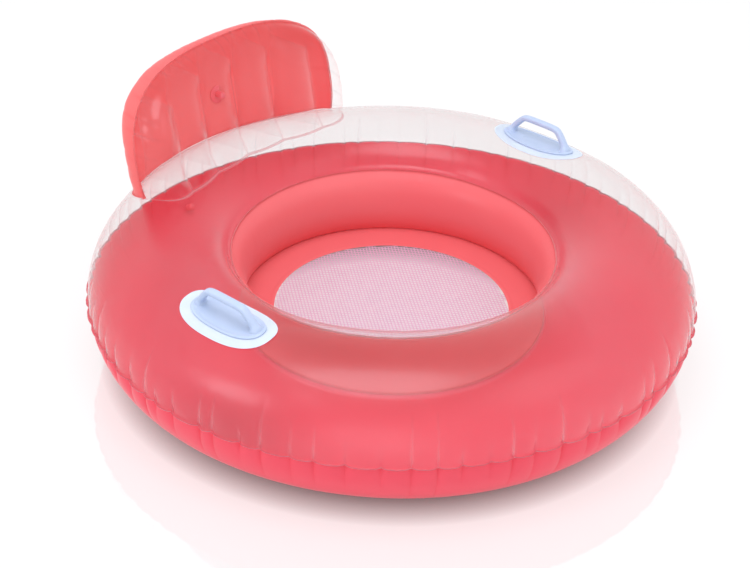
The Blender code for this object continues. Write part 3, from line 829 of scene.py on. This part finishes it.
def back_grid(side):
    """The whole of one backrest panel, from the flange welded to the ring up to its fin."""
    u = np.sin(np.linspace(-math.pi / 2, math.pi / 2, BACK_COLUMNS))
    foot = np.linspace(-1, 0, FOOT_ROWS, endpoint=False)
    v = np.concatenate([foot, np.sin(np.linspace(0, math.pi / 2, BACK_ROWS))])
    u, v = np.meshgrid(u, v)
    grid = panel_place(side, u, v)
    flange = []
    for share in (1.0, 0.5, 0.12):
        row = grid[0].copy()
        row[:, 1] += side * FOOT_FLANGE * share
        row[:, 2] = tube_top_z(row[:, 0], row[:, 1]) + FLANGE_LIFT
        flange.append(row)
    body = add_fin(grid, u, v, side)
    flange = [np.concatenate([row[:1], row, row[-1:]]) for row in flange]
    for row in flange:
        row[0, 0] -= FIN
        row[-1, 0] += FIN
    return np.concatenate([np.stack(flange), body]), panel_marks(u, v, side)


def panel_marks(u, v, side):
    """Where a backrest panel is creased along its outline or welded to a rib, on its finished grid: there
    the clear film is whitened as painted highlight and the coral film darkened as painted shade, the welds
    also showing as weld lines.
    """
    x, z = outline_point(u, v)
    near = np.min(np.abs(x[..., None] - np.array(RIB_PLACES)), axis=-1)
    crest = (1 - np.abs(x / BACK_HALF_WIDTH) ** BACK_CORNER_POWER) ** (1 / BACK_CORNER_POWER)
    top = BACK_WIDEST_Z + BACK_RISE * crest - RIB_WELD_TOP_GAP
    weld = np.exp(-((near / RIB_WELD_WIDTH) ** 2)) * np.clip((top - z) / 0.02, 0, 1)
    weld *= WELD_MARK[side]
    marks = np.maximum(weld, 0.6 * np.clip(edge_gathers(u, v, GATHER_SEEDS[side]), 0, 1) ** 2)
    marks = np.pad(marks, ((3, 1), (1, 1)), mode="edge")
    marks[:3] = np.array(FLANGE_MARKS[side])[:, None]
    return marks


def add_fin(grid, u, v, side):
    """Grow the grid outwards by the welded fin round the sides and the top."""
    scallop = FIN_SCALLOP * edge_gathers(u, v, GATHER_SEEDS[side])
    centre = np.array([0.0, 0.0, BACK_WIDEST_Z])

    def outward(line):
        away = line - centre
        away[:, 1] = 0
        away[:, 0] = np.sign(away[:, 0]) * np.abs(away[:, 0] / BACK_HALF_WIDTH) ** 2 / BACK_HALF_WIDTH
        away[:, 2] = np.clip(away[:, 2] / BACK_RISE, 0, 1) ** 2 / BACK_RISE
        return away / np.linalg.norm(away, axis=1, keepdims=True)

    left = grid[:, 0] + outward(grid[:, 0].copy()) * (FIN - scallop[:, :1])
    right = grid[:, -1] + outward(grid[:, -1].copy()) * (FIN - scallop[:, -1:])
    grid = np.concatenate([left[:, None], grid, right[:, None]], axis=1)
    top = grid[-1] + outward(grid[-1].copy()) * (FIN - np.pad(scallop[-1], 1, mode="edge")[:, None])
    return np.concatenate([grid, top[None]], axis=0)


def build_rib(number, place):
    """One upright film welded between the two panels."""
    u_scale = place / BACK_HALF_WIDTH
    reach = (1 - abs(u_scale) ** BACK_CORNER_POWER) ** (1 / BACK_CORNER_POWER)
    top = reach - RIB_TOP_GAP / BACK_RISE
    v = np.concatenate([np.linspace(-0.96, 0, 8, endpoint=False), np.linspace(0, top, 30)])
    up = np.clip(v, 0, 1)
    u = u_scale / (1 - up ** BACK_CORNER_POWER / 2) ** (1 / BACK_CORNER_POWER)
    front = panel_place(-1, u, v)
    rear = panel_place(1, u, v)
    share = np.linspace(0.012, 0.988, 14)[None, :, None]
    grid = front[:, None] * (1 - share) + rear[:, None] * share
    rib = sheet_film(f"backrest_rib_film_{number}", grid, "rib")
    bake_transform(rib)
    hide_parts(f"backrest_rib_{number}")


def build_backrest():
    for side, name, panels, look, slot in (
        (-1, "backrest_front_film", ("backrest_front_panel", "backrest_foot_front"), "front", "clear_vinyl"),
        (1, "backrest_back_film", ("backrest_back_panel", "backrest_foot_back"), "back", "coral_vinyl"),
    ):
        grid, marks = back_grid(side)
        if side > 0:
            grid, marks = grid[:, ::-1], marks[:, ::-1]
        make = sheet_film if side < 0 else grid_film
        film = make(name, grid, look, crease=marks)
        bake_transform(film)
        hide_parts(*panels)
    for number, place in enumerate(RIB_PLACES, 1):
        build_rib(number, place)


# The handles

OVAL_POWER = 2.4
OVAL_STEPS = 96
PATCH_HALF = ((PATCH_HIGH.x - PATCH_LOW.x) / 2, (PATCH_HIGH.y - PATCH_LOW.y) / 2)
PAD_HALF = (0.036, (GRIP_HIGH.y - GRIP_LOW.y) / 2)
PATCH_PROFILE = ((0.0, 0.0003), (0.995, 0.0003), (1.0, 0.0006), (0.998, 0.0013), (0.99, 0.0016),
                 (0.97, 0.0013), (0.94, 0.0011), (0.5, 0.0011), (0.0, 0.0011))
PAD_PROFILE = ((0.0, 0.0012), (0.99, 0.0012), (1.0, 0.0018), (1.0, 0.0040), (0.985, 0.0049),
               (0.96, 0.0052), (0.90, 0.0050), (0.84, 0.0036), (0.78, 0.0030), (0.4, 0.0026), (0.0, 0.0026))
FOOT_SPACING = 0.138
BAR_TOP = 0.076
BAR_HEIGHT = 0.036
BAR_WIDTH = 0.0165
BAR_DEPTH = 0.0125
BAR_LEAN = math.radians(8.0)
BAR_LIFT = 0.0050
BAR_FLARE = 0.55
BAR_FLARE_HEIGHT = 0.006
BAR_SQUARENESS = 0.75
BAR_SIDES = 20
MOULD_VOXEL = 0.0009
MOULD_SMOOTHING = 6


def signed_power(value, power):
    return np.sign(value) * np.abs(value) ** power


def finely(profile):
    """The profile with its long flat steps cut into eight."""
    fine = []
    for (share, lift), (next_share, next_lift) in zip(profile, profile[1:]):
        pieces = 8 if abs(next_share - share) > 0.3 else 1
        for k in range(pieces):
            fine.append((share + (next_share - share) * k / pieces, lift + (next_lift - lift) * k / pieces))
    return fine


def oval_body(profile, half, side):
    """Points and faces of an oval turned from a (share of its half size, height) profile over the tube."""
    turn = np.arange(OVAL_STEPS) * 2 * math.pi / OVAL_STEPS
    across = half[0] * signed_power(np.cos(turn), 2 / OVAL_POWER)
    along = half[1] * signed_power(np.sin(turn), 2 / OVAL_POWER)
    rows = []
    for share, lift in finely(profile)[1:]:
        x = side * HANDLE_X + across * share
        y = HANDLE_Y + along * share
        rows.append(np.stack([x, y, tube_top_z(x, y) + lift], axis=-1))
    centre = np.array([[side * HANDLE_X, HANDLE_Y, 0.0]] * 2)
    centre[:, 2] = tube_top_z(centre[:, 0], centre[:, 1]) + np.array([profile[0][1], profile[-1][1]])
    points = np.concatenate([np.concatenate(rows), centre])
    first, last = len(points) - 2, len(points) - 1
    faces = ring_faces(len(rows), OVAL_STEPS)
    final = (len(rows) - 1) * OVAL_STEPS
    for j in range(OVAL_STEPS):
        k = (j + 1) % OVAL_STEPS
        faces.append((first, k, j))
        faces.append((last, final + j, final + k))
    return points, faces


def chaikin(path, rounds):
    """Round a path's corners by cutting them."""
    for _ in range(rounds):
        before, after = path[:-1], path[1:]
        cut = np.stack([0.75 * before + 0.25 * after, 0.25 * before + 0.75 * after], axis=1)
        path = np.concatenate([path[:1], cut.reshape(-1, 2), path[-1:]])
    return path


def bar_body(side, base_z):
    """Points and faces of the grip bar: a flat-topped arch that flares into its feet."""
    foot, top, height = FOOT_SPACING / 2, BAR_TOP / 2, BAR_HEIGHT
    quarter = [(foot, -0.003), (foot - 0.002, 0.006), (foot - 0.010, 0.017), (top + 0.007, height - 0.003),
               (top - 0.003, height), (top - 0.020, height + 0.0004)]
    path = np.array([(-y, z) for y, z in quarter] + [(y, z) for y, z in reversed(quarter)])
    path = chaikin(path, 3)
    along = np.gradient(path, axis=0)
    along /= np.linalg.norm(along, axis=1, keepdims=True)
    turn = np.arange(BAR_SIDES) * 2 * math.pi / BAR_SIDES
    wide = signed_power(np.cos(turn), BAR_SQUARENESS)
    deep = signed_power(np.sin(turn), BAR_SQUARENESS)
    points = []
    for (y, z), (ty, tz) in zip(path, along):
        flare = 1 + BAR_FLARE * math.exp(-((max(z, 0.0) / BAR_FLARE_HEIGHT) ** 2))
        x = wide * BAR_WIDTH / 2 * flare
        off = deep * BAR_DEPTH / 2 * flare
        points.append(np.stack([x, y - off * tz, z + off * ty], axis=-1))
    points = np.concatenate(points)
    lean = side * BAR_LEAN
    x = points[:, 0] * math.cos(lean) + points[:, 2] * math.sin(lean)
    z = points[:, 2] * math.cos(lean) - points[:, 0] * math.sin(lean)
    points = np.stack([x + side * HANDLE_X, points[:, 1] + HANDLE_Y, z + base_z], axis=-1)
    return points, capped_faces(len(path), BAR_SIDES)


def melt_together(name, bodies, look):
    """Fuse overlapping closed bodies into one moulding with softened joins."""
    points = np.concatenate([body[0] for body in bodies])
    faces = []
    count = 0
    for body in bodies:
        faces += [tuple(i + count for i in face) for face in body[1]]
        count += len(body[0])
    thing = to_object(name, points, faces, look)
    remesh = thing.modifiers.new("fuse", "REMESH")
    remesh.mode = "VOXEL"
    remesh.voxel_size = MOULD_VOXEL
    remesh.use_smooth_shade = True
    smooth = thing.modifiers.new("soften", "SMOOTH")
    smooth.factor = 0.5
    smooth.iterations = MOULD_SMOOTHING
    fused = bpy.data.meshes.new_from_object(thing.evaluated_get(bpy.context.evaluated_depsgraph_get()))
    thing.modifiers.clear()
    thing.data = fused
    fused.name = name
    fused.materials.clear()
    fused.materials.append(MATERIALS[look])
    fused.shade_smooth()
    return thing


def build_handle(side_name, side):
    patch = to_object(f"handle_{side_name}_weld_patch", *oval_body(PATCH_PROFILE, PATCH_HALF, side), "patch")
    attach(patch, "ring")
    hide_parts(f"handle_{side_name}_patch")
    foot_y = HANDLE_Y + FOOT_SPACING / 2
    base = float(tube_top_z(np.array(HANDLE_X), np.array(foot_y))) + BAR_LIFT
    bodies = [oval_body(PAD_PROFILE, PAD_HALF, side), bar_body(side, base)]
    grip = melt_together(f"handle_{side_name}_moulding", bodies, "handle")
    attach(grip, "ring")
    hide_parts(f"handle_{side_name}_grip")


# The valves

VALVE_HOLE = 0.0073
# Height of the solid flange's middle over the skin
FLANGE_MIDDLE = 0.0012
TURNED_STEPS = 48
MERGE_DISTANCE = 0.00001
SHARP_EDGE = math.radians(50)
STRAP_LOW, STRAP_HIGH = 0.0029, 0.0048
STRAP_START, STRAP_END = 0.0098, 0.0086
STRAP_REACH = 0.0055
STRAP_HALF_WIDTH = 0.0018
STRAP_HALF_DEPTH = 0.0004
STRAP_STEPS = 24
STRAP_SIDES = 10


def rounded(radius, low, high, edge=0.0004):
    """The outer side of a disc: its rim with softened edges, from the bottom up."""
    return ((radius - edge, low), (radius - edge * 0.3, low + edge * 0.3), (radius, low + edge),
            (radius, high - edge), (radius - edge * 0.3, high - edge * 0.3), (radius - edge, high))


# (radius, height) round each closed outline, with heights over the skin
FLANGE_PROFILE = ((VALVE_HOLE, 0.0005), *rounded(0.019, 0.0005, 0.0018), (0.0150, 0.0018),
                  (0.0140, 0.0022), (0.0125, 0.0022), (0.0115, 0.0018), (VALVE_HOLE, 0.0018))
STEM_PROFILE = ((0.0042, -0.0159), (0.0066, -0.0159), (0.0070, -0.0155), (0.0070, 0.0021),
                *rounded(0.0092, 0.0021, 0.0037), (0.0050, 0.0037), (0.0042, 0.0032))
CAP_PROFILE = ((0.0, -0.0044), (0.0030, -0.0044), (0.0036, -0.0034), (0.0038, -0.0020),
               (0.0036, 0.0020), (0.0036, 0.0040), *rounded(0.0080, 0.0040, 0.0056), (0.0066, 0.0056),
               (0.0060, 0.0051), (0.0020, 0.0050), (0.0, 0.0050))
MEMBRANE_PROFILE = ((0.0, -0.0168), (0.0062, -0.0168), (0.0066, -0.0165), (0.0062, -0.0162),
                    (0.0, -0.0162))


def turned(profile):
    """A closed (radius, height) profile turned about +Z."""
    turn = np.arange(TURNED_STEPS) * 2 * math.pi / TURNED_STEPS
    points = np.concatenate([np.stack([r * np.cos(turn), r * np.sin(turn), 0 * turn + z], axis=-1)
                             for r, z in profile])
    return points, ring_faces(len(profile), TURNED_STEPS, closed=True)


def turned_piece(name, profile, place):
    """A lathe-turned piece; points on the axis are welded and the faces point outwards."""
    points, faces = turned(profile)
    piece = to_object(name, points, faces, "valve")
    made = bmesh.new()
    made.from_mesh(piece.data)
    bmesh.ops.remove_doubles(made, verts=made.verts, dist=MERGE_DISTANCE)
    bmesh.ops.recalc_face_normals(made, faces=made.faces)
    bmesh.ops.transform(made, matrix=place, verts=made.verts)
    made.to_mesh(piece.data)
    made.free()
    piece.data.shade_smooth()
    piece.data.set_sharp_from_angle(angle=SHARP_EDGE)
    return piece


def middle(name):
    low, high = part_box(name)
    return (low + high) / 2


def valve_place(prefix):
    """The valve's own frame: +Z out of the skin, its origin on the skin."""
    joint = next(joint for joint in frame["joints"] if joint["name"] == f"{prefix}_valve_pop")
    outward = Vector(joint["axis"]).normalized()
    origin = middle(f"{prefix}_valve_flange") - outward * FLANGE_MIDDLE
    return Matrix.Translation(origin) @ outward.to_track_quat("Z", "X").to_matrix().to_4x4()


def build_valve(prefix, skin_body):
    place = valve_place(prefix)
    pieces = (("flange", "collar_ring", FLANGE_PROFILE, skin_body),
              ("stem", "tube", STEM_PROFILE, f"{prefix}_valve"),
              ("stopper", "cap", CAP_PROFILE, f"{prefix}_stopper"),
              ("flap", "membrane", MEMBRANE_PROFILE, f"{prefix}_valve"))
    for node_name, name, profile, body in pieces:
        piece = turned_piece(f"{prefix}_valve_{name}", profile, place)
        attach(piece, body)
        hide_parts(f"{prefix}_valve_{node_name}")
    strap = to_object(f"{prefix}_valve_strap", *strap_body(), "valve")
    strap.data.transform(place)
    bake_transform(strap)
    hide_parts(f"{prefix}_valve_tether")


def strap_body():
    """A soft strap that leaves the collar, loops outwards and comes back to the cap."""
    share = np.linspace(0, 1, STRAP_STEPS)
    turn = math.pi * share
    x = STRAP_START + (STRAP_END - STRAP_START) * share + STRAP_REACH * np.sin(turn)
    z = STRAP_LOW + (STRAP_HIGH - STRAP_LOW) * share
    normal = np.stack([np.sin(turn) + 0.001, -np.cos(turn)], axis=-1)
    normal /= np.linalg.norm(normal, axis=1, keepdims=True)
    round_turn = np.arange(STRAP_SIDES) * 2 * math.pi / STRAP_SIDES
    wide = STRAP_HALF_WIDTH * signed_power(np.cos(round_turn), 0.5)
    thick = STRAP_HALF_DEPTH * signed_power(np.sin(round_turn), 0.5)
    points = []
    for i in range(STRAP_STEPS):
        points.append(np.stack([x[i] + thick * normal[i, 0], wide, z[i] + thick * normal[i, 1]], axis=-1))
    return np.concatenate(points), capped_faces(STRAP_STEPS, STRAP_SIDES)


# The floor

FLOOR_DROP = 0.0002
FLOOR_SIZE = 9.0


def build_floor():
    made = bmesh.new()
    bmesh.ops.create_grid(made, x_segments=8, y_segments=8, size=FLOOR_SIZE)
    mesh = bpy.data.meshes.new("floor")
    made.to_mesh(mesh)
    made.free()
    mesh.materials.append(floor_material())
    floor = bpy.data.objects.new("floor", mesh)
    floor.location.z = -FLOOR_DROP
    bpy.context.scene.collection.objects.link(floor)


build_camera()
build_light()
build_floor()
build_ring()
build_seat_band()
build_seat_net()
build_backrest()
build_handle("left", -1)
build_handle("right", 1)
build_valve("ring", "ring")
build_valve("backrest", "backrest")
